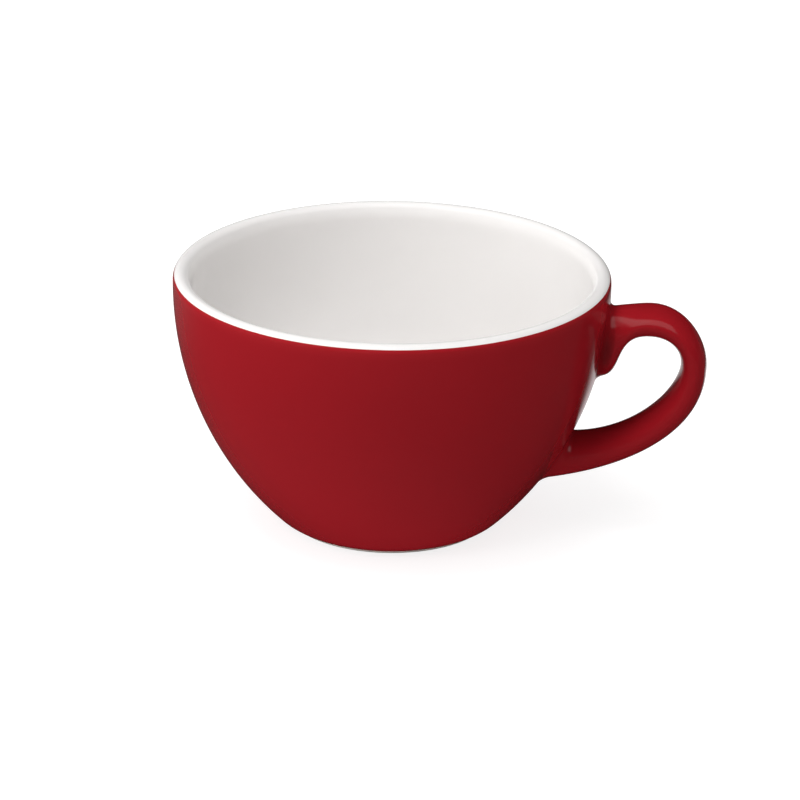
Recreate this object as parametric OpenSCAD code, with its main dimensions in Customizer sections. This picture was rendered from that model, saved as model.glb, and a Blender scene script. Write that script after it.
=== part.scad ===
// Flat white cup: a porcelain bowl on a bare foot ring and a strap handle that slip joins to its side,
// under coats of glaze: white inside and over the rim, red outside, on the handle and under the base.
// Millimetres, +Z up. The origin is on the bowl's axis at the table, and the handle points along +X.
// Sizes are measured over the glaze, which is the finished surface, apart from those of the foot.

/* [Bowl] */
// Diameter over the rim
rim_d = 88; // [78:0.5:100]
// Height from the table to the top of the rim
cup_h = 53; // [48:0.5:62]
// Thickness of the wall, which the rim rounds over
wall_t = 3.7; // [3:0.1:5]
// Drop from the top of the rim to where the outside is widest
widest_drop = 3; // [2:0.1:6]
// Diameter where the outside glaze ends above the foot
foot_d = 43; // [38:0.2:48]
// Angle that the outside has turned from upright at the foot
foot_turn = 67; // [60:1:76]
// Radius of the outside curve above the foot
heel_r = 8.6; // [6:0.2:12]
// Height of the inside floor above the table
floor_h = 5.5; // [4.8:0.1:8]
// Radius of the curve between the inside floor and the wall
well_r = 14; // [8:0.5:18]

/* [Foot] */
// Height of the bare foot below the glaze
foot_bare = 0.5; // [0.4:0.1:1.5]
// Chamfer around the foot at the table
foot_ease = 0.3; // [0.1:0.1:0.6]
// Width of the flat ring that stands on the table
ring_w = 3.2; // [2:0.1:5]
// Depth of the recess in the porcelain inside the ring, with a quarter-round edge
recess_h = 2; // [1.5:0.1:2.5]

/* [Glaze] */
// Thickness of every coat of glaze
glaze_t = 0.3; // [0.2:0.05:0.5]
// Angle up the outside of the rim to the line where white meets red
line_a = 35; // [10:1:80]

/* [Handle] */
// Width of the strap
strap_w = 12; // [9:0.5:16]
// Reach of the handle past the rim
reach = 19.7; // [15:0.1:26]
// Drop from the rim to the top of the handle
crown_drop = 5.4; // [4:0.1:8]
// Distance of the top of the handle past the rim
crown_out = 8.2; // [6:0.1:10]
// Thickness of the strap at its top
crown_t = 5.3; // [4.5:0.1:7]
// Fall of the strap from its top to the bowl
crown_fall = 0.6; // [0.5:0.1:2]
// Drop from the top of the handle to the tip of the spur below its upper end
spur_drop = 14.8; // [11:0.2:18]
// Thickness of the strap at its side
side_t = 5.2; // [4:0.1:7]
// Height of the side where the strap is farthest out
side_h = 35.4; // [32:0.2:38]
// Height of the side where the loop is widest
loop_h = 36.2; // [33:0.2:38]
// Height of the lower end's underside on the bowl
low_h = 10.1; // [8:0.1:12]
// Height of the lower end up the bowl
low_t = 9.4; // [7:0.1:11]
// Radius of the fillet beside both ends
side_fillet = 2.4; // [1.2:0.1:3]
// Radius of the fillet above and below both ends
edge_fillet = 0.9; // [0.6:0.1:1.2]
// Thickness of the slip between the bowl and the handle
slip_t = 0.5; // [0.4:0.05:0.8]

/* [Hidden] */
$fn = 120;

RED = "#86141f";
WHITE = "#ece9e4";
PORCELAIN = "#d9d2c6";
SLIP = "#c9bfae";

function polar(r, a) = r * [cos(a), sin(a)];
function unit(v) = v / norm(v);

// Outside: a long side curve, drawn in a little at the rim, that runs into the heel curve and so to the foot.
rim_r = rim_d / 2;
rim_round = wall_t / 2;
foot = [foot_d / 2, foot_bare];
heel_c = foot - polar(heel_r, -foot_turn);
heel_in = rim_r - heel_c.x;
heel_up = cup_h - widest_drop - heel_c.y;
side_r = (heel_in ^ 2 + heel_up ^ 2 - heel_r ^ 2) / (2 * (heel_in - heel_r));
side_c = [rim_r - side_r, cup_h - widest_drop];
heel_a = asin(heel_up / (side_r - heel_r));
rim_lean = asin((widest_drop - rim_round) / (side_r - rim_round));
rim_c = side_c + polar(side_r - rim_round, rim_lean);

// Inside: the side curve one wall in, and the well curve down to a flat floor.
well_drop = side_c.y - floor_h - well_r;
well_a = asin(well_drop / (side_r - wall_t - well_r));
well_c = side_c + polar(side_r - wall_t - well_r, -well_a);

// Foot ring, and the centre of its recess's quarter-round.
foot_side = foot - polar(glaze_t, -foot_turn);
ring_out = foot_side.x - foot_ease;
cove_c = [ring_out - ring_w - recess_h, 0];
cove_a = asin(foot_bare / recess_h);

// Radius of the outside at a height on the side curve, and a point's distance from that curve.
function side_x(z) = side_c.x + sqrt(side_r ^ 2 - (z - side_c.y) ^ 2);
function off_bowl(p) = norm([norm([p.x, p.y]), p.z] - side_c) - side_r;

// Points of an arc about c, without its last point, close enough that no chord is off by more than arc_sag.
arc_sag = 0.01;
function arc(c, r, a0, a1) =
    let (n = ceil(abs(a1 - a0) / (2 * acos(1 - arc_sag / r))))
    [for (i = [0:n - 1]) c + polar(r, a0 + (a1 - a0) * i / n)];
function reversed(list) = [for (i = [len(list) - 1:-1:0]) list[i]];
function without_first(list) = [for (i = [1:len(list) - 1]) list[i]];

// Line of the inside, from the axis up to the glaze line on the rim, and of the outside, from there to the foot.
// Inset moves a line into the wall.
function inside_line(inset) = concat(
    [[0, floor_h - inset]],
    arc(well_c, well_r + inset, -90, -well_a),
    arc(side_c, side_r - wall_t + inset, -well_a, rim_lean),
    arc(rim_c, rim_round - inset, 180 + rim_lean, line_a),
    [rim_c + polar(rim_round - inset, line_a)]
);
function outside_line(inset) = concat(
    arc(rim_c, rim_round - inset, line_a, rim_lean),
    arc(side_c, side_r - inset, rim_lean, -heel_a),
    arc(heel_c, heel_r - inset, -heel_a, -foot_turn),
    [heel_c + polar(heel_r - inset, -foot_turn)]
);

// Line of the recess, from where its glaze ends up to the axis.
function recess_line(inset) = concat(
    arc(cove_c, recess_h - inset, cove_a, 90),
    [[cove_c.x, recess_h - inset], [0, recess_h - inset]]
);

// Ring between two lines that run the same way.
module revolved_band(near_line, far_line) {
    rotate_extrude() polygon(concat(near_line, reversed(far_line)));
}

// Shell along the outside's side curve alone, from inset in to outset out.
function side_line(outset) = concat(
    arc(side_c, side_r + outset, rim_lean, -heel_a),
    [side_c + polar(side_r + outset, -heel_a)]
);
module side_shell(inset, outset) { revolved_band(side_line(outset), side_line(-inset)); }

// Rails: the outer and inner edges of the strap in the XZ plane, each three curves through four knots.
// A knot is a point and the direction of travel there, from the upper end round to the lower end.
crown = [rim_r + crown_out, cup_h - crown_drop];
upper_z = crown.y - crown_fall;
spur_z = crown.y - spur_drop;
side_out = rim_r + reach;
low_top = low_h + low_t;
upper_rise = 10;
low_rise = 10.5;
OUT = [1, 0];
DOWN = [0, -1];
outer_knots = [
    [[side_x(upper_z), upper_z], polar(1, upper_rise)],
    [crown, OUT],
    [[side_out, side_h], DOWN],
    [[side_x(low_h), low_h], -polar(1, low_rise)]
];
inner_knots = [
    [[side_x(spur_z), spur_z], OUT],
    [crown - [0, crown_t], OUT],
    [[side_out - side_t, loop_h], DOWN],
    [[side_x(low_top), low_top], -OUT]
];

// Pulls: how far each curve holds the direction of its two knots, as a share of their distance.
outer_pulls = [[0.38, 0.38], [0.40, 0.31], [0.31, 0.47]];
inner_pulls = [[0.43, 0.57], [0.50, 0.40], [0.24, 0.45]];

function bezier(p, t) =
    (1 - t) ^ 3 * p[0] + 3 * (1 - t) ^ 2 * t * p[1] + 3 * (1 - t) * t ^ 2 * p[2] + t ^ 3 * p[3];
function curve(k0, k1, pull, t) =
    let (d = norm(k1[0] - k0[0]))
    bezier([k0[0], k0[0] + d * pull[0] * k0[1], k1[0] - d * pull[1] * k1[1], k1[0]], t);
function rail(knots, pulls, s) =
    let (i = min(floor(s), 2))
    curve(knots[i], knots[i + 1], pulls[i], s - i);

// Stations along the rails, from 0 to 3, crowded towards the two ends.
end_steps = 10;
turn_steps = 9;
sweep_steps = 14;
end_crowding = 2;
sweep_crowding = 1.6;
stations = [
    for (i = [0:end_steps - 1]) (i / end_steps) ^ end_crowding,
    for (i = [0:turn_steps - 1]) 1 + i / turn_steps,
    for (i = [0:sweep_steps]) 3 - (1 - i / sweep_steps) ^ sweep_crowding
];

// Sections: pairs of rail points. One more at each end is buried in the bowl's wall.
bury = 1.2;
rail_pairs = [
    for (s = stations) [rail(outer_knots, outer_pulls, s), rail(inner_knots, inner_pulls, s)]
];
last_pair = rail_pairs[len(rail_pairs) - 1];
low_in = bury * unit([last_pair[1].y - last_pair[0].y, last_pair[0].x - last_pair[1].x]);
sections = concat(
    [[for (p = rail_pairs[0]) p - bury * OUT]],
    rail_pairs,
    [[for (p = last_pair) p - low_in]]
);

// Each section is a superellipse between its two rail points, spread near the bowl by the fillet, which is
// wide beside the strap and tight at its edges. It stops short of the bowl's tangent, so that the glaze
// over it keeps a thickness there.
strap_sides = 28;
squareness = 2.3;
fillet_stop = 0.25;
function soft(v) = sign(v) * abs(v) ^ (2 / squareness);
function steep(v) = sign(v) * abs(v) ^ (squareness - 1);
function flare(d, r) =
    let (left = r * (1 - fillet_stop) - max(d, 0))
    left > 0 ? r - sqrt(r ^ 2 - left ^ 2) : 0;
function section_point(pair, a, inset) =
    let (
        mid = (pair[0] + pair[1]) / 2,
        up = unit(pair[0] - pair[1]),
        half_t = norm(pair[0] - pair[1]) / 2,
        half_w = strap_w / 2,
        c = soft(cos(a)),
        s = soft(sin(a)),
        p = [mid.x + up.x * half_t * c, half_w * s, mid.y + up.y * half_t * c],
        out = unit([steep(c) / half_t, steep(s) / half_w]),
        fillet = edge_fillet + (side_fillet - edge_fillet) * sin(a) ^ 2,
        shift = flare(off_bowl(p), fillet) - inset
    )
    p + shift * [up.x * out[0], out[1], up.y * out[0]];
function strap_points(from, to, inset) = [
    for (k = [from:to], j = [0:strap_sides - 1]) section_point(sections[k], 360 * j / strap_sides, inset)
];

// Faces of a tube of rings, and of its two ends. Vertex numbers start at first.
function tube_faces(rings, first, flip) = [
    for (k = [0:rings - 2], j = [0:strap_sides - 1], half = [0, 1])
        let (
            a = first + k * strap_sides + j,
            b = first + k * strap_sides + (j + 1) % strap_sides,
            tri = half == 0 ? [a, b, b + strap_sides] : [a, b + strap_sides, a + strap_sides]
        )
        flip ? [tri[2], tri[1], tri[0]] : tri
];
function end_face(first, flip) =
    flip ? [for (j = [strap_sides - 1:-1:0]) first + j] : [for (j = [0:strap_sides - 1]) first + j];
function end_band(outer, inner, flip) = [
    for (j = [0:strap_sides - 1], half = [0, 1])
        let (
            n = (j + 1) % strap_sides,
            tri = half == 0 ? [outer + j, outer + n, inner + n] : [outer + j, inner + n, inner + j]
        )
        flip ? [tri[2], tri[1], tri[0]] : tri
];

last = len(sections) - 1;

// Porcelain of the strap, from one section to another.
module strap(from = 0, to = last) {
    rings = to - from + 1;
    polyhedron(
        strap_points(from, to, glaze_t),
        concat(
            tube_faces(rings, 0, false),
            [end_face(0, true)],
            [end_face((rings - 1) * strap_sides, false)]
        )
    );
}

// Glaze around the whole strap, open at both ends.
module strap_coat() {
    rings = last + 1;
    inner = rings * strap_sides;
    end = last * strap_sides;
    polyhedron(
        concat(strap_points(0, last, 0), strap_points(0, last, glaze_t)),
        concat(
            tube_faces(rings, 0, false),
            tube_faces(rings, inner, true),
            end_band(0, inner, true),
            end_band(end, inner + end, false)
        )
    );
}

// The two ends of the strap that meet the bowl, each to the first section that is a root's length away.
root_l = 2;
away = [for (k = [0:last]) if (off_bowl([sections[k][0].x, 0, sections[k][0].y]) > root_l) k];
module upper_root() { strap(0, away[0]); }
module lower_root() { strap(away[len(away) - 1], last); }

// What the handle and its coat stop at: the bowl's side, out to the given distance over its glaze.
core_depth = rim_r / 2;
module bowl_core(outset) { side_shell(core_depth, outset); }

// Porcelain of the bowl: floor, wall, rim, heel and foot ring.
module bowl() {
    color(PORCELAIN) rotate_extrude() polygon(concat(
        inside_line(glaze_t),
        without_first(outside_line(glaze_t)),
        [[foot_side.x, foot_ease], [ring_out, 0]],
        arc(cove_c, recess_h, 0, cove_a),
        recess_line(0)
    ));
}

// Porcelain of the handle, shaped to the bowl at both ends with room for the slip.
module handle() {
    color(PORCELAIN) difference() {
        strap();
        bowl_core(slip_t - glaze_t);
    }
}

// Slip that joins the handle's upper end to the bowl.
module upper_slip_joint() {
    color(SLIP) intersection() {
        upper_root();
        side_shell(glaze_t, slip_t - glaze_t);
    }
}

// Slip that joins the handle's lower end to the bowl.
module lower_slip_joint() {
    color(SLIP) intersection() {
        lower_root();
        side_shell(glaze_t, slip_t - glaze_t);
    }
}

// White glaze on the floor, up the inside and over the rim.
module liner_glaze() {
    color(WHITE) revolved_band(inside_line(0), inside_line(glaze_t));
}

// Red glaze on the outside, from the line on the rim to the foot, with the handle's ends left clear.
module outer_glaze() {
    color(RED) difference() {
        revolved_band(outside_line(0), outside_line(glaze_t));
        upper_root();
        lower_root();
    }
}

// Red glaze all over the handle, down to the bowl's own glaze.
module handle_glaze() {
    color(RED) difference() {
        strap_coat();
        bowl_core(0);
    }
}

// Red glaze in the recess under the base, short of the table.
module base_glaze() {
    color(RED) revolved_band(recess_line(0), recess_line(glaze_t));
}

bowl();
handle();
upper_slip_joint();
lower_slip_joint();
liner_glaze();
outer_glaze();
handle_glaze();
base_glaze();
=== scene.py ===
from math import acos, asin, atan2, ceil, copysign, cos, pi, radians, sin, sqrt, tau

import bmesh
import bpy
from mathutils import Matrix, Vector


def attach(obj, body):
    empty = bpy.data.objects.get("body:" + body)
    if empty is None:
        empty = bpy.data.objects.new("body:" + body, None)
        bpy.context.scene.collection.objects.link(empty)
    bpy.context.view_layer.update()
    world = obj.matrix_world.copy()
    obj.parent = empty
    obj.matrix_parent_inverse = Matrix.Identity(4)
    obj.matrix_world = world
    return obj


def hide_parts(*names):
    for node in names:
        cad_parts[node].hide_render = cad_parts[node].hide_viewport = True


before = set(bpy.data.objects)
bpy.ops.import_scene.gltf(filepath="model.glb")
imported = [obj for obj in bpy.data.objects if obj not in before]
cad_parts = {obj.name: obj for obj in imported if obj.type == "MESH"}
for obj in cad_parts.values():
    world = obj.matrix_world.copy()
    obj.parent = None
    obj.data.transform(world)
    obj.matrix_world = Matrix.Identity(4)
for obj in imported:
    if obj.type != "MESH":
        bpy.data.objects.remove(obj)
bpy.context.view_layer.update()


# Bowl: the cup's porcelain body, shaped on a turning wheel, with a rounded rim and a trimmed foot ring.
# Glaze hides all of it but the ring, which is wiped bare so that it doesn't stick to the kiln shelf.

mm = 0.001
rim_r = 44 * mm
cup_h = 53 * mm
widest_drop = 3 * mm
wall_t = 3.7 * mm
rim_round = 1.66 * mm
lip_r = 6 * mm
foot_r = 21.5 * mm
foot_turn = radians(67)
heel_r = 8.6 * mm
floor_h = 5.5 * mm
well_r = 14 * mm
foot_bare = 0.5 * mm
foot_ease = 0.3 * mm
ring_w = 3.2 * mm
recess_h = 2 * mm
glaze_t = 0.3 * mm


def at(x, z):
    """A point of a profile, in the plane that the bowl's profile is drawn in."""
    return Vector((x, 0, z))


def polar(r, angle):
    """A point of a profile at a distance and an angle from level."""
    return at(r * cos(angle), r * sin(angle))


# The outside is a long side curve, drawn in at the rim, that runs into the heel curve and so to the foot.
foot = at(foot_r, foot_bare)
heel_c = foot - polar(heel_r, -foot_turn)
heel_in = rim_r - heel_c.x
heel_up = cup_h - widest_drop - heel_c.z
side_r = (heel_in ** 2 + heel_up ** 2 - heel_r ** 2) / (2 * (heel_in - heel_r))
side_c = at(rim_r - side_r, cup_h - widest_drop)
heel_a = asin(heel_up / (side_r - heel_r))
rim_far = side_r - rim_round
rim_lean = asin((widest_drop - rim_round) / rim_far)
rim_c = side_c + polar(rim_far, rim_lean)

# The inside is the side curve one wall in, eased into the rim by a lip, and a well curve to a flat floor.
inside_r = side_r - wall_t
lip_far = inside_r + lip_r
lip_off = lip_r - rim_round
lip_a = rim_lean - acos((rim_far ** 2 + lip_far ** 2 - lip_off ** 2) / (2 * rim_far * lip_far))
lip_c = side_c + polar(lip_far, lip_a)
lip_top = atan2(rim_c.z - lip_c.z, rim_c.x - lip_c.x)
well_a = asin((side_c.z - floor_h - well_r) / (inside_r - well_r))
well_c = side_c + polar(inside_r - well_r, -well_a)

# The foot ring stands around a recess with a quarter-round edge.
foot_side = foot - polar(glaze_t, -foot_turn)
ring_out = foot_side.x - foot_ease
cove_c = at(ring_out - ring_w - recess_h, 0)

line_step = 1.2 * mm
arc_step = radians(6)
turns = 240
weld = 0.001 * mm
crease = radians(35)


def piece(name, bm):
    """A finished mesh as a smooth piece that rides with the cup, sharp only at its true edges."""
    mesh = bpy.data.meshes.new(name)
    bm.to_mesh(mesh)
    bm.free()
    mesh.shade_smooth()
    mesh.set_sharp_from_angle(angle=crease)
    made = bpy.data.objects.new(name, mesh)
    bpy.context.scene.collection.objects.link(made)
    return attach(made, "root")


def turned(name, moves):
    """A turned piece. One vertex draws its outline, straight to a point or round a centre by an angle,
    and the outline is spun about the bowl's axis."""
    bm = bmesh.new()
    here = bm.verts.new(moves[0])
    for move in moves[1:]:
        if isinstance(move, Vector):
            run = move - here.co
            steps = ceil(run.length / line_step)
            drawn = bmesh.ops.spin(bm, geom=[here], axis=(0, -1, 0), dvec=run / steps, steps=steps)
        else:
            centre, angle = move
            run = abs(angle) * (here.co - centre).length
            steps = max(ceil(run / line_step), ceil(abs(angle) / arc_step))
            drawn = bmesh.ops.spin(
                bm, geom=[here], cent=centre, axis=(0, -1, 0), angle=angle, steps=steps
            )
        here = next(v for v in drawn["geom_last"] if isinstance(v, bmesh.types.BMVert))
    outline = bm.verts[:] + bm.edges[:]
    bmesh.ops.spin(
        bm, geom=outline, cent=(0, 0, 0), axis=(0, 0, 1), angle=tau, steps=turns, use_merge=True
    )
    bmesh.ops.remove_doubles(bm, verts=bm.verts, dist=weld)
    bmesh.ops.recalc_face_normals(bm, faces=bm.faces)
    return piece(name, bm)


class Finish:
    """One socket of a material. Sums on it add Math nodes, and node() adds any other node."""

    def __init__(self, tree, socket=None):
        self.tree = tree
        self.socket = socket

    def node(self, kind, settings=None, sockets=None, out=0):
        made = self.tree.nodes.new("ShaderNode" + kind)
        for name, value in (settings or {}).items():
            setattr(made, name, value)
        for name, value in (sockets or {}).items():
            if isinstance(value, Finish):
                self.tree.links.new(value.socket, made.inputs[name])
            else:
                made.inputs[name].default_value = value
        return Finish(self.tree, made.outputs[out])

    def math(self, operation, *values):
        return self.node("Math", {"operation": operation}, dict(enumerate(values)))

    def __add__(self, other):
        return self.math("ADD", self, other)

    def __mul__(self, other):
        return self.math("MULTIPLY", self, other)

    __radd__ = __add__
    __rmul__ = __mul__

    def band(self, low, high):
        """0 at low and 1 at high, eased between them."""
        ease = {"interpolation_type": "SMOOTHSTEP"}
        return self.node("MapRange", ease, {"Value": self, "From Min": low, "From Max": high})

    def mix(self, first, second):
        """The first colour where this is 0 and the second where it is 1."""
        return self.node("Mix", {"data_type": "RGBA"}, {0: self, 6: first, 7: second}, out=2)

    def along(self, axis):
        """One measure of a place, along X, Y or Z, where self is a place."""
        return self.node("SeparateXYZ", None, {0: self}, out=axis)

    def distance(self, point):
        """How far a point is, where self is a place."""
        return self.node("VectorMath", {"operation": "DISTANCE"}, {0: self, 1: point}, out="Value")

    def noise(self, scale, detail=2):
        """Even noise of this many waves to the metre, from 0 to 1, where self is a place."""
        return self.node("TexNoise", None, {"Vector": self, "Scale": scale, "Detail": detail})

    def bump(self, depth, strength=1.0):
        """A surface normal where this height, from 0 to 1, stands up by the depth."""
        return self.node("Bump", None, {"Height": self, "Distance": depth, "Strength": strength})


def material(name, build):
    """A material whose surface is what build returns for a place on the piece."""
    made = bpy.data.materials.new(name)
    made.use_nodes = True
    tree = made.node_tree
    tree.nodes.clear()
    place = Finish(tree).node("TexCoord", out="Object")
    surface = build(place)
    output = tree.nodes.new("ShaderNodeOutputMaterial")
    tree.links.new(surface.socket, output.inputs["Surface"])
    return made


def bare_porcelain(place):
    """Unglazed porcelain: matt and close-grained, a little grey and worn where it has stood."""
    warm = (0.80, 0.76, 0.69, 1)
    cool = (0.70, 0.67, 0.62, 1)
    grain = place.noise(2600, 3)
    cloud = place.noise(120, 2)
    return place.node(
        "BsdfPrincipled",
        None,
        {
            "Base Color": (cloud * 0.6 + grain * 0.4).band(0.35, 0.65).mix(warm, cool),
            "Roughness": 0.5 + grain * 0.2,
            "Normal": grain.bump(0.02 * mm, 0.4),
        },
    )


quarter = pi / 2
bowl = turned(
    "bowl_body",
    [
        at(0, floor_h - glaze_t),
        at(well_c.x, floor_h - glaze_t),
        (well_c, quarter - well_a),
        (side_c, well_a + lip_a),
        (lip_c, lip_top - pi - lip_a),
        (rim_c, rim_lean - lip_top),
        (side_c, -heel_a - rim_lean),
        (heel_c, heel_a - foot_turn),
        at(foot_side.x, foot_ease),
        at(ring_out, 0),
        at(cove_c.x + recess_h, 0),
        (cove_c, quarter),
        at(0, recess_h),
    ],
)
porcelain = material("porcelain", bare_porcelain)
bowl.data.materials.append(porcelain)
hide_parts("bowl")


# Handle: a porcelain strap, pressed in a mould and set on the bowl while both are leather-hard.
# It stays as the solid that it is, because its coat of glaze covers it.

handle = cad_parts["handle"]
handle.data.materials.clear()
handle.data.materials.append(porcelain)


# Slip joints: the liquid clay that lutes the handle's two ends to the bowl and fires hard with them.
# They lie under the glaze, in the two roots of the handle.


def fired_slip(place):
    """Fired slip: as matt as the porcelain, a little darker, with a coarser grain."""
    light = (0.74, 0.69, 0.60, 1)
    dark = (0.66, 0.61, 0.53, 1)
    grain = place.noise(1400, 3)
    return place.node(
        "BsdfPrincipled",
        None,
        {
            "Base Color": grain.band(0.3, 0.7).mix(light, dark),
            "Roughness": 0.6 + grain * 0.2,
            "Normal": grain.bump(0.03 * mm, 0.5),
        },
    )


slip = material("slip", fired_slip)
for joint in ("upper_slip_joint", "lower_slip_joint"):
    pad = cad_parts[joint]
    pad.data.materials.clear()
    pad.data.materials.append(slip)


# Liner glaze: a coat of white glaze that is poured in, swirled up the wall and wiped level over the rim.
# It is glassy, and a little greyer over the top of the rim, which is painted shade.

line_a = radians(35)
liner_arcs = [
    (well_c, quarter - well_a),
    (side_c, well_a + lip_a),
    (lip_c, lip_top - pi - lip_a),
    (rim_c, line_a - lip_top),
]


def there_and_back(start, edge, arcs, stop):
    """The outline of a coat: along its face to its edge, in through its thickness and back below."""
    back = [(centre, -angle) for centre, angle in reversed(arcs)]
    return [*start, *arcs, edge, *back, *stop]


def white_glaze(place):
    """White glaze: glossy over a white body, faintly wavy, with soft clouds where it lies thicker,
    and a little greyer over the top of the rim, which is painted shade."""
    white = (0.798, 0.779, 0.767, 1)
    thick = (0.784, 0.765, 0.753, 1)
    # A greyer white for the top of the rim: painted shade.
    thin_line_and_rim_shade = (0.755, 0.737, 0.728, 1)
    cloud = place.noise(45, 3)
    wave = place.noise(420, 1)
    height = place.along("Z")
    # Where the rim's painted shade lies: over the top of the rim.
    rim_shade_mask = height.band(cup_h - rim_round, cup_h)
    return place.node(
        "BsdfPrincipled",
        None,
        {
            "Base Color": rim_shade_mask.mix(cloud.band(0.3, 0.7).mix(white, thick), thin_line_and_rim_shade),
            "Roughness": 0.10 + cloud * 0.05,
            "Specular IOR Level": 0.5,
            "Normal": wave.bump(0.012 * mm, 0.5),
        },
    )


liner = turned(
    "liner_coat",
    there_and_back(
        [at(0, floor_h), at(well_c.x, floor_h)],
        rim_c + polar(rim_round - glaze_t, line_a),
        liner_arcs,
        [at(0, floor_h - glaze_t)],
    ),
)
liner.data.materials.append(material("white_glaze", white_glaze))
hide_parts("liner_glaze")


# Outer glaze: a coat of deep red glaze, sprayed on the outside from the line under the rim to the foot.
# It runs a little before it sets, so it lies thin and light at the line and thick and dark near the foot.

outer_arcs = [(rim_c, rim_lean - line_a), (side_c, -heel_a - rim_lean), (heel_c, heel_a - foot_turn)]
line = rim_c + polar(rim_round, line_a)
line_blur = 2.4 * mm


def red_glaze(place):
    """Red glaze: glossy, faintly wavy, clouded where it lies thicker, thin along the line at the rim,
    and darkest in the two sides of the handle's upper fillet, where shade is painted into the colour."""
    thin_line_and_rim_shade = (0.32, 0.010, 0.0150, 1)
    full = (0.290, 0.0078, 0.0128, 1)
    deep = (0.272, 0.0072, 0.012, 1)
    # Painted shade: the darkest red, for the shaded sides of the handle's upper fillet.
    painted_shade = (0.14, 0.004, 0.006, 1)
    cloud = place.noise(38, 3)
    wave = place.noise(420, 1)
    height = place.along("Z")
    near_line = height.band(line.z - line_blur, line.z)
    body = (cloud * 0.7 + 0.3 * height.band(cup_h * 0.4, 0)).band(0.2, 0.8).mix(full, deep)
    # The painted shade's mask, carried on the handle coat's mesh.
    corner_shade = place.node("Attribute", {"attribute_name": "corner_shade"}, out="Fac")
    return place.node(
        "BsdfPrincipled",
        None,
        {
            "Base Color": corner_shade.mix(near_line.mix(body, thin_line_and_rim_shade), painted_shade),
            "Roughness": 0.11 + cloud * 0.05,
            "Specular IOR Level": 0.45,
            "Normal": wave.bump(0.012 * mm, 0.5),
        },
    )


outer = turned(
    "outer_coat",
    there_and_back(
        [line],
        heel_c + polar(heel_r - glaze_t, -foot_turn),
        outer_arcs,
        [line],
    ),
)
red = material("red_glaze", red_glaze)
outer.data.materials.append(red)
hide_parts("outer_glaze")


# Base glaze: the same red in the recess under the base, brushed in before the foot ring is wiped.
# It runs down the recess's quarter-round edge and stops a little short of the bare ring.

cove_a = asin(foot_bare / recess_h)
base = turned(
    "base_coat",
    [
        at(0, recess_h - glaze_t),
        at(cove_c.x, recess_h - glaze_t),
        (cove_c, cove_a - quarter),
        cove_c + polar(recess_h, cove_a),
        (cove_c, quarter - cove_a),
        at(0, recess_h),
    ],
)
base.data.materials.append(red)
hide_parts("base_glaze")


# Handle glaze: the red coat all over the handle, run into a smooth fillet where the handle meets the bowl.
# The strap is a loop of rounded section between an outer and an inner edge, tall at its upper end,
# where the inner edge drops to a spur under the joint.

strap_w = 12 * mm
crown_out = 8.2 * mm
crown_drop = 5.4 * mm
crown_t = 5.3 * mm
upper_drop = 0.6 * mm
spur_drop = 14.8 * mm
reach_out = 19.7 * mm
side_t = 5.2 * mm
side_h = 35.4 * mm
loop_h = 36.2 * mm
low_h = 10.1 * mm
low_t = 9.4 * mm
upper_rise = radians(10)
low_rise = radians(10.5)
squareness = 2.3
side_fillet = 2.4 * mm
edge_fillet = 0.9 * mm
halvings = 40

crown = at(rim_r + crown_out, cup_h - crown_drop)
side_out = rim_r + reach_out
OUT = at(1, 0)
DOWN = at(0, -1)


def on_side(z):
    """The point of the bowl's side at a height."""
    return at(side_c.x + sqrt(side_r ** 2 - (z - side_c.z) ** 2), z)


# Each edge is three curves through four knots: a point, its direction, and how far the curves hold it.
outer_edge = [
    (on_side(crown.z - upper_drop), polar(1, upper_rise), 0, 0.38),
    (crown, OUT, 0.38, 0.40),
    (at(side_out, side_h), DOWN, 0.31, 0.31),
    (on_side(low_h), -polar(1, low_rise), 0.47, 0),
]
inner_edge = [
    (on_side(crown.z - spur_drop), OUT, 0, 0.43),
    (crown - at(0, crown_t), OUT, 0.57, 0.50),
    (at(side_out - side_t, loop_h), DOWN, 0.40, 0.24),
    (on_side(low_h + low_t), -OUT, 0.45, 0),
]


def edge_point(edge, s):
    """The point of an edge at a station from 0 to 3, and straight on past its two ends."""
    i = min(max(int(s), 0), 2)
    (p0, d0, _, hold0), (p3, d3, hold3, _) = edge[i], edge[i + 1]
    reach = (p3 - p0).length
    p1 = p0 + d0 * reach * hold0
    p2 = p3 - d3 * reach * hold3
    t = s - i
    if t < 0:
        return p0 + 3 * t * (p1 - p0)
    if t > 1:
        return p3 + 3 * (t - 1) * (p3 - p2)
    return (1 - t) ** 3 * p0 + 3 * (1 - t) ** 2 * t * p1 + 3 * (1 - t) * t ** 2 * p2 + t ** 3 * p3


def strap_point(s, turn):
    """A point of the bare strap, and the way out of its section there."""
    top, under = edge_point(outer_edge, s), edge_point(inner_edge, s)
    half_t = (top - under).length / 2
    half_w = strap_w / 2
    up = (top - under).normalized()
    across = Vector((0, 1, 0))
    c = copysign(abs(cos(turn)) ** (2 / squareness), cos(turn))
    w = copysign(abs(sin(turn)) ** (2 / squareness), sin(turn))
    out_c = copysign(abs(c) ** (squareness - 1), c) / half_t
    out_w = copysign(abs(w) ** (squareness - 1), w) / half_w
    point = (top + under) / 2 + up * half_t * c + across * half_w * w
    return point, (up * out_c + across * out_w).normalized()


def off_bowl(p):
    """A point's distance from the bowl's side, and the way out of the side there."""
    flat = Vector((p.x, p.y, 0))
    spoke = flat.normalized()
    arm = at(flat.length, p.z) - side_c
    return arm.length - side_r, (spoke * arm.x + Vector((0, 0, arm.z))).normalized()


def station_at(gap, turn, near, far):
    """The station, from one near the bowl to one far from it, where the strap is a gap away from it."""
    for _ in range(halvings):
        half_way = (near + far) / 2
        if off_bowl(strap_point(half_way, turn)[0])[0] < gap:
            near = half_way
        else:
            far = half_way
    return (near + far) / 2


def fillet_at(turn):
    """The fillet's radius round the strap: wide on its two sides and tight on its edges."""
    return edge_fillet + (side_fillet - edge_fillet) * sin(turn) ** 2


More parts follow.
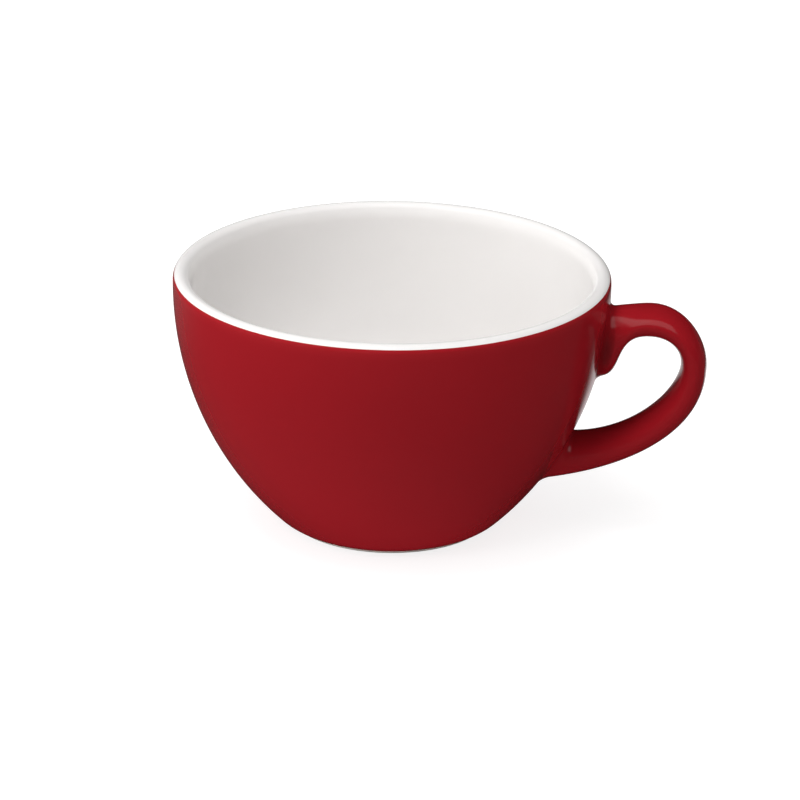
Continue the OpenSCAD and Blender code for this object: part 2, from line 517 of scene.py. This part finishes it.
def filleted(share, turn, root, sunk=0):
    """A point of the fillet, which leaves the bowl at share 0 and joins the strap at share 1."""
    r = fillet_at(turn)
    gap = r * (1 - cos(quarter * share)) - sunk
    p, out = strap_point(station_at(gap, turn, *root), turn)
    side = off_bowl(p)[1]
    along = (out - side * out.dot(side)).normalized()
    p = p + along * r * (1 - sin(quarter * share))
    miss, side = off_bowl(p)
    return p + side * (gap - miss)


# Each root lies between two stations, one inside the bowl and one clear of it. The coat starts and ends
# sunk in the bowl's own coat, and has painted shade, a darker red, in the two sides of the upper fillet.
upper_root = (-0.6, 0.9)
lower_root = (3.6, 2.1)
sink = 0.15 * mm
strap_sides = 72
fillet_steps = 12
span_steps = (26, 26, 40)
# How the painted shade in the upper fillet falls off round the strap and along the fillet.
shade_sides = 4
shade_spread = 0.5

bm = bmesh.new()
turn_of = bm.verts.layers.float.new("turn")
corner_shade_of = bm.verts.layers.float.new("corner_shade")
ring = bmesh.ops.create_circle(bm, segments=strap_sides, radius=strap_w / 2)["verts"]
for k, vert in enumerate(ring):
    vert[turn_of] = tau * k / strap_sides
loop = bm.edges[:]


def carried_on(loop):
    """One more ring of the strap, drawn out from the last."""
    made = bmesh.ops.extrude_edge_only(bm, edges=loop)["geom"]
    verts = [v for v in made if isinstance(v, bmesh.types.BMVert)]
    edges = [e for e in made if isinstance(e, bmesh.types.BMEdge)]
    between = set(verts)
    return verts, [e for e in edges if e.verts[0] in between and e.verts[1] in between]


for vert in ring:
    vert.co = filleted(0, vert[turn_of], upper_root, sink)
for k in range(fillet_steps):
    ring, loop = carried_on(loop)
    for vert in ring:
        vert.co = filleted(k / fillet_steps, vert[turn_of], upper_root)
        # Painted shade: darker in the two sides of the upper fillet.
        vert[corner_shade_of] = sin(vert[turn_of]) ** shade_sides * sin(pi * k / fillet_steps) ** shade_spread
joins = {}
for turn in (vert[turn_of] for vert in ring):
    start = station_at(fillet_at(turn), turn, *upper_root)
    stop = station_at(fillet_at(turn), turn, *lower_root)
    joins[turn] = (start, 1, 2, stop)
for span, count in enumerate(span_steps):
    for k in range(count):
        ring, loop = carried_on(loop)
        for vert in ring:
            turn = vert[turn_of]
            start, stop = joins[turn][span:span + 2]
            vert.co = strap_point(start + (stop - start) * k / count, turn)[0]
            vert[corner_shade_of] = 0
for k in range(fillet_steps + 1):
    ring, loop = carried_on(loop)
    for vert in ring:
        vert.co = filleted(1 - k / fillet_steps, vert[turn_of], lower_root)
ring, loop = carried_on(loop)
for vert in ring:
    vert.co = filleted(0, vert[turn_of], lower_root, sink)

bmesh.ops.recalc_face_normals(bm, faces=bm.faces)
handle_coat = piece("handle_coat", bm)
coat_wall = handle_coat.modifiers.new("coat_wall", "SOLIDIFY")
coat_wall.thickness = glaze_t
handle_coat.data.materials.append(red)
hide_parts("handle_glaze")


# Studio: a pale floor that keeps the cup's shadow, a wide soft box and a small lamp overhead, two close
# on the left, two in front, one on the right, and the camera. A grey card behind the handle shows only
# in the glaze, as a light band.

floor_r = 3.0
floor_contact = 3.5 * mm
glow_c = (-22 * mm, -12 * mm, 0)
glow_near = 40 * mm
glow_far = 75 * mm
gleam_c = (-150 * mm, 110 * mm, 0)
gleam_near = 20 * mm
gleam_far = 110 * mm
card_c = (47 * mm, 34 * mm, 0.2 * mm)
card_turn = radians(38)
card_left = -50 * mm
card_right = 95 * mm
card_front = -8 * mm
card_back = 112 * mm
card_full_right = 66.5 * mm
card_full_front = 10 * mm
card_full_back = 30 * mm
card_end = 120 * mm


def stage_piece(name, bm):
    """A piece of the studio, which isn't part of the cup."""
    mesh = bpy.data.meshes.new(name)
    bm.to_mesh(mesh)
    bm.free()
    made = bpy.data.objects.new(name, mesh)
    bpy.context.scene.collection.objects.link(made)
    return made


def pale_floor(place):
    """A pale matt floor: near white to the camera, with the cup's shadow on it, and dark in reflections,
    but less so far behind on the left. To diffuse light it glows like a lamp, lighting the cup from below,
    most of all round the foot."""
    to_camera = place.node("LightPath", out="Is Camera Ray")
    to_gloss = place.node("LightPath", out="Is Glossy Ray")
    shade = place.node("BsdfDiffuse", None, {"Color": (0.35, 0.35, 0.35, 1)})
    bright = place.node("Emission", None, {"Strength": 0.8})
    white = place.node("AddShader", None, {0: shade, 1: bright})
    pale = place.node("BsdfDiffuse", None, {"Color": (0.5, 0.5, 0.5, 1)})
    # The floor's glow: light of its own, given off round the foot though the floor is no lamp.
    glow = place.node("Emission", None, {"Strength": 1.03})
    off_foot = place.distance((0, 0, 0)).band(foot_r, foot_r + floor_contact)
    near = place.distance(glow_c).band(glow_far, glow_near) * off_foot
    lit = place.node("MixShader", None, {0: near, 1: pale, 2: glow})
    black = (0.03, 0.03, 0.03, 1)
    grey = (0.08, 0.08, 0.08, 1)
    gleam = place.distance(gleam_c).band(gleam_far, gleam_near)
    dark = place.node("BsdfDiffuse", None, {"Color": gleam.mix(black, grey)})
    unseen = place.node("MixShader", None, {0: to_gloss, 1: lit, 2: dark})
    return place.node("MixShader", None, {0: to_camera, 1: unseen, 2: white})


def grey_card(place):
    """Matt grey card that darkens towards its edges."""
    black = (0.02, 0.02, 0.02, 1)
    grey = (0.7, 0.7, 0.7, 1)
    across = place.along("X")
    deep = place.along("Y")
    sides = across.band(card_left, 0) * across.band(card_right, card_full_right)
    ends = deep.band(card_front, card_full_front) * deep.band(card_end, card_full_back)
    return place.node("BsdfDiffuse", None, {"Color": (sides * ends).mix(black, grey)})


bm = bmesh.new()
bmesh.ops.create_circle(bm, cap_ends=True, segments=64, radius=floor_r)
floor = stage_piece("floor", bm)
floor.data.materials.append(material("floor", pale_floor))

bm = bmesh.new()
bmesh.ops.create_grid(bm, x_segments=1, y_segments=1, size=0.5)
bmesh.ops.scale(bm, verts=bm.verts, vec=(card_right - card_left, card_back - card_front, 1))
card_middle = ((card_left + card_right) / 2, (card_front + card_back) / 2, 0)
bmesh.ops.translate(bm, verts=bm.verts, vec=card_middle)
card = stage_piece("card", bm)
card.location = card_c
card.rotation_euler = (0, 0, card_turn)
card.data.materials.append(material("card", grey_card))
card.visible_camera = False
card.visible_diffuse = False
card.visible_shadow = False

half_up = Vector((0, 0, cup_h / 2))
camera_turn = radians(6.5)


def lamp(name, turn, lift, far, size, power, in_gloss=False):
    """A soft lamp that faces the cup, turned from the camera's side and lifted from level."""
    light = bpy.data.lights.new(name, "AREA")
    light.shape = "RECTANGLE"
    light.size, light.size_y = size
    light.energy = power
    made = bpy.data.objects.new(name, light)
    turn = camera_turn + radians(turn)
    lift = radians(lift)
    way = Vector((sin(turn) * cos(lift), -cos(turn) * cos(lift), sin(lift)))
    made.location = half_up + far * way
    made.rotation_euler = way.to_track_quat("Z", "Y").to_euler()
    made.visible_camera = False
    made.visible_glossy = in_gloss
    bpy.context.scene.collection.objects.link(made)


lamp("soft_box", 0, 73, 1.2, (2.1, 1.2), 6.7, in_gloss=True)
lamp("top", -60, 76, 0.8, (0.4, 0.4), 3.15)
lamp("left", -80, 9, 0.45, (0.75, 0.3), 1.45)
lamp("left_back", -140, 0, 0.4, (0.3, 0.1), 1.2)
lamp("front_left", -30, 45, 1.2, (0.3, 0.3), 2.1)
lamp("front", -12, 12, 1.2, (0.6, 0.25), 1.7)
lamp("right", 118, 10, 1.2, (0.7, 0.3), 1.5)

world = bpy.data.worlds.new("studio")
bpy.context.scene.world = world
world.use_nodes = True
sky = world.node_tree.nodes["Background"]
sky.inputs["Color"].default_value = (1, 1, 1, 1)
sky.inputs["Strength"].default_value = 0.31
world.cycles_visibility.glossy = False

camera_lift = radians(21.748)
camera_roll = radians(0.711)
camera_far = 0.7
aim_right = 1.876 * mm
aim_down = 1.721 * mm
focal = 154.837
sensor = 36

lens = bpy.data.cameras.new("camera")
lens.sensor_width = sensor
lens.lens = focal
camera = bpy.data.objects.new("camera", lens)
toward = Vector(
    (sin(camera_turn) * cos(camera_lift), -cos(camera_turn) * cos(camera_lift), sin(camera_lift))
)
level = toward.to_track_quat("Z", "Y").to_matrix()
aim = half_up + level @ Vector((aim_right, -aim_down, 0))
camera.location = half_up + camera_far * toward
facing = (camera.location - aim).to_track_quat("Z", "Y").to_matrix()
camera.rotation_euler = (facing @ Matrix.Rotation(camera_roll, 3, "Z")).to_euler()
bpy.context.scene.collection.objects.link(camera)
bpy.context.scene.camera = camera

bpy.context.scene.view_settings.view_transform = "Standard"
